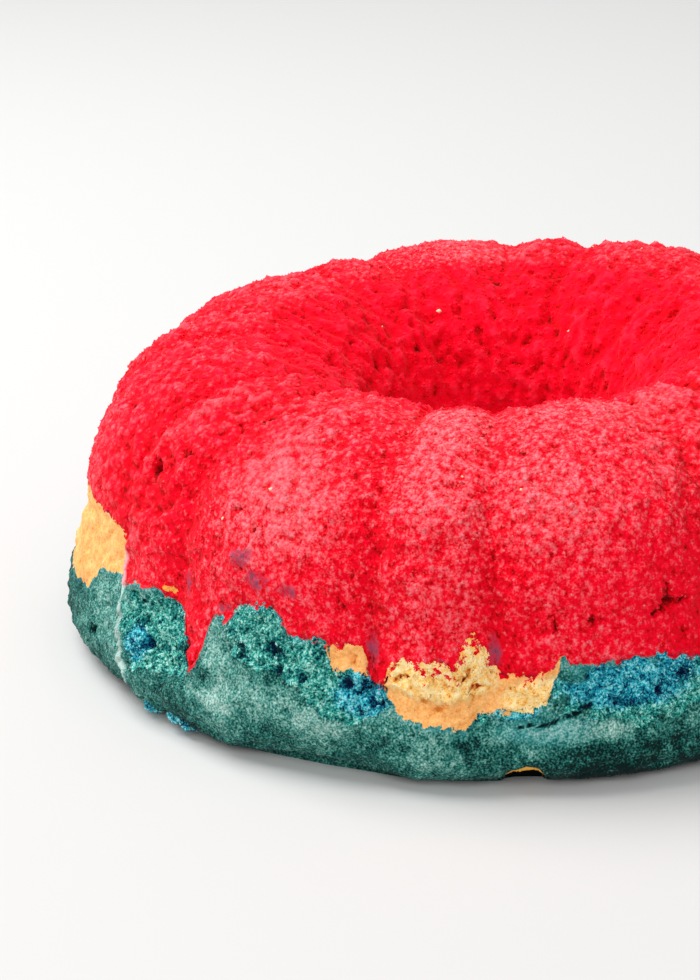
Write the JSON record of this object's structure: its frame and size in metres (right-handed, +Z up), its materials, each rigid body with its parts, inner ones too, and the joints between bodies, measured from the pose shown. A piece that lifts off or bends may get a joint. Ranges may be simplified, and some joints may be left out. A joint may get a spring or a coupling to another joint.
{
  "type": "bundt cake",
  "caption": "Fluted ring cake with a central hole: red sponge on top, golden patches and a blue-green sponge base, resting on its wide flat side.",
  "frame": {"origin": "centre of the flat underside, on the axis of the central hole", "axes": "+Z up along the axis of the ring and its hole, -Y towards the front that the picture shows"},
  "size_m": [0.2534, 0.253, 0.0811],
  "materials": {
    "red_sponge": "matte open crumb of baked red sponge cake",
    "golden_sponge": "matte open crumb of baked golden sponge cake",
    "blue_sponge": "matte dusty crust of baked blue-green sponge cake"
  },
  "bodies": {
    "root": {"red_sponge": "red_sponge", "golden_sponge": "golden_sponge", "blue_sponge": "blue_sponge"}
  },
  "joints": []
}
